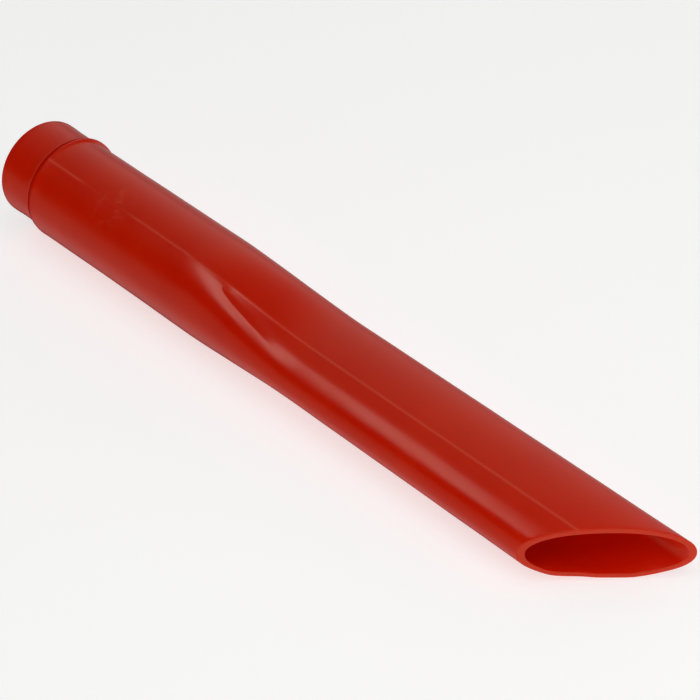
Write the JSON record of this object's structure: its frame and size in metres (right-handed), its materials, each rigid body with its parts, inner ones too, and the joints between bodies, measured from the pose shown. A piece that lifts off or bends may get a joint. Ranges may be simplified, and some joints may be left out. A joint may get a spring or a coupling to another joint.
{
  "type": "crevice nozzle",
  "caption": "One-piece moulded plastic crevice nozzle: a round cuff for a vacuum or blower hose, a long barrel and a flattened nose with a slanted open mouth.",
  "frame": {"origin": "centre of the rear rim of the hose cuff, on the axis of its bore", "axes": "+X along the bore towards the mouth, +Y across the flattened nose towards the longer side of the slanted mouth, +Z through the thickness of the nose and up when it lies flat"},
  "size_m": [0.3622, 0.0458, 0.0458],
  "materials": {
    "moulded_red": "satin moulded polyethylene, red"
  },
  "bodies": {
    "root": {"nozzle": "moulded_red"}
  },
  "joints": []
}
